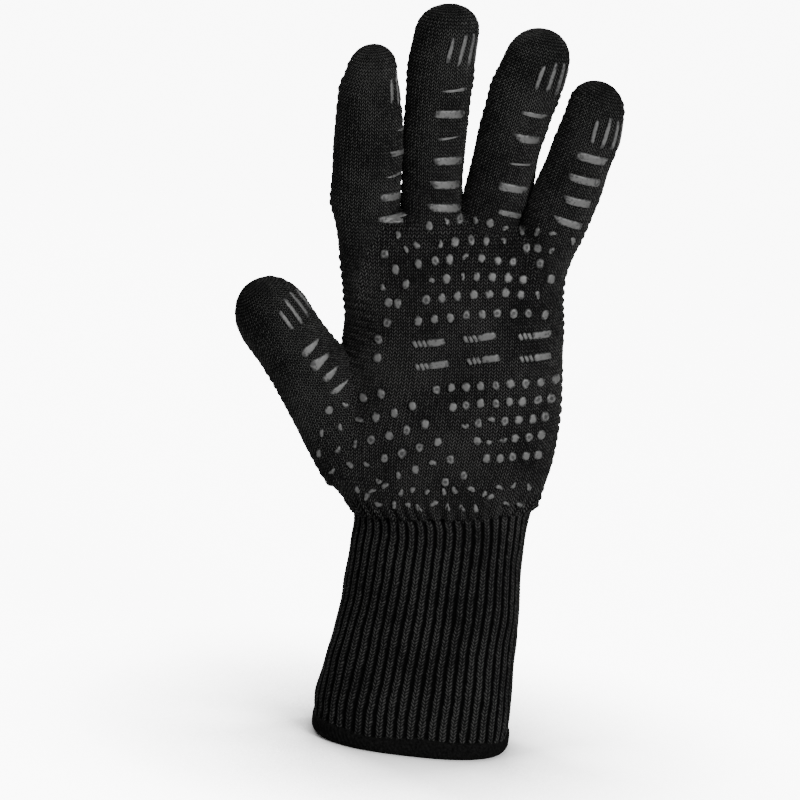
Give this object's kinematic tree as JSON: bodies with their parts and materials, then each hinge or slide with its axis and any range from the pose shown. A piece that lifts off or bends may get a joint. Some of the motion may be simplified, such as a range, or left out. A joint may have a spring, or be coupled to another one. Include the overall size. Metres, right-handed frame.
{
  "type": "heat resistant glove",
  "caption": "Left-hand knitted oven and grill glove with a long ribbed cuff, bound hem, printed silicone grip dots and bars, and digits that bend at root and middle.",
  "frame": {"origin": "on the ground, under the middle of the bounding box, with the hem flat on the ground", "axes": "+Z from the hem towards the fingertips, -Y out of the palm, +X from the thumb side to the little finger side"},
  "size_m": [0.1674, 0.0664, 0.341],
  "materials": {
    "knit": "matt black plain knit",
    "rib": "matt black one-by-one rib knit",
    "lining": "soft dark grey brushed lining",
    "hem": "black overlocked binding",
    "grip": "matt grey printed silicone"
  },
  "bodies": {
    "cuff": {"cuff_rib_knit": "rib", "cuff_hem_binding": "hem", "wrist_front_fold": "rib", "wrist_back_fold": "rib"},
    "hand": {"hand_knit": "knit", "hand_lining": "lining", "palm_bar_grip": "grip", "palm_lower_dot_grip": "grip", "palm_upper_dot_grip": "grip", "thumb_base_dot_grip": "grip", "wrist_dot_grip": "grip", "index_root_fold": "knit", "middle_root_fold": "knit", "ring_root_fold": "knit", "little_root_fold": "knit", "thumb_root_fold": "knit"},
    "index_base": {"index_root_knit": "knit", "index_root_lining": "lining", "index_root_grip": "grip", "index_middle_fold": "knit"},
    "index_end": {"index_tip_knit": "knit", "index_tip_lining": "lining", "index_tip_grip": "grip"},
    "middle_base": {"middle_root_knit": "knit", "middle_root_lining": "lining", "middle_root_grip": "grip", "middle_middle_fold": "knit"},
    "middle_end": {"middle_tip_knit": "knit", "middle_tip_lining": "lining", "middle_tip_grip": "grip"},
    "ring_base": {"ring_root_knit": "knit", "ring_root_lining": "lining", "ring_root_grip": "grip", "ring_middle_fold": "knit"},
    "ring_end": {"ring_tip_knit": "knit", "ring_tip_lining": "lining", "ring_tip_grip": "grip"},
    "little_base": {"little_root_knit": "knit", "little_root_lining": "lining", "little_root_grip": "grip", "little_middle_fold": "knit"},
    "little_end": {"little_tip_knit": "knit", "little_tip_lining": "lining", "little_tip_grip": "grip"},
    "thumb_base": {"thumb_root_knit": "knit", "thumb_root_lining": "lining", "thumb_root_grip": "grip", "thumb_middle_fold": "knit"},
    "thumb_end": {"thumb_tip_knit": "knit", "thumb_tip_lining": "lining", "thumb_tip_grip": "grip"}
  },
  "joints": [
    {"name": "wrist_bend", "type": "hinge", "parent": "cuff", "child": "hand", "pos_m": [0.02206, 0, 0.1], "axis": [1, 0, 0], "range_deg": [-30, 30], "deforming": ["wrist_front_fold", "wrist_back_fold"]},
    {"name": "index_root_bend", "type": "hinge", "parent": "hand", "child": "index_base", "pos_m": [-0.02902, -0.00681, 0.25266], "axis": [0.9974, -0.0174, 0.0706], "range_deg": [-10, 65], "deforming": ["index_root_fold"]},
    {"name": "index_middle_bend", "type": "hinge", "parent": "index_base", "child": "index_end", "pos_m": [-0.03111, -0.00946, 0.28147], "axis": [0.9974, -0.0174, 0.0706], "range_deg": [0, 80], "deforming": ["index_middle_fold"]},
    {"name": "middle_root_bend", "type": "hinge", "parent": "hand", "child": "middle_base", "pos_m": [0.00202, -0.00356, 0.25479], "axis": [0.9993, -0.0262, 0.0278], "range_deg": [-10, 65], "deforming": ["middle_root_fold"]},
    {"name": "middle_middle_bend", "type": "hinge", "parent": "middle_base", "child": "middle_end", "pos_m": [0.00093, -0.00589, 0.2917], "axis": [0.9993, -0.0262, 0.0278], "range_deg": [0, 80], "deforming": ["middle_middle_fold"]},
    {"name": "ring_root_bend", "type": "hinge", "parent": "hand", "child": "ring_base", "pos_m": [0.0302, -0.00377, 0.25455], "axis": [0.9849, 0.0775, -0.1546], "range_deg": [-10, 65], "deforming": ["ring_root_fold"]},
    {"name": "ring_middle_bend", "type": "hinge", "parent": "ring_base", "child": "ring_end", "pos_m": [0.03584, -0.00687, 0.28895], "axis": [0.9849, 0.0775, -0.1546], "range_deg": [0, 80], "deforming": ["ring_middle_fold"]},
    {"name": "little_root_bend", "type": "hinge", "parent": "hand", "child": "little_base", "pos_m": [0.05949, -0.00894, 0.25231], "axis": [0.9681, 0.1533, -0.1982], "range_deg": [-10, 65], "deforming": ["little_root_fold"]},
    {"name": "little_middle_bend", "type": "hinge", "parent": "little_base", "child": "little_end", "pos_m": [0.06532, -0.01194, 0.2785], "axis": [0.9681, 0.1533, -0.1982], "range_deg": [0, 80], "deforming": ["little_middle_fold"]},
    {"name": "thumb_root_bend", "type": "hinge", "parent": "hand", "child": "thumb_base", "pos_m": [-0.04837, -0.01284, 0.17492], "axis": [0.6883, 0.2781, 0.67], "range_deg": [-10, 35], "deforming": ["thumb_root_fold"]},
    {"name": "thumb_middle_bend", "type": "hinge", "parent": "thumb_base", "child": "thumb_end", "pos_m": [-0.06158, -0.01567, 0.18967], "axis": [0.6883, 0.2781, 0.67], "range_deg": [0, 45], "deforming": ["thumb_middle_fold"]}
  ]
}
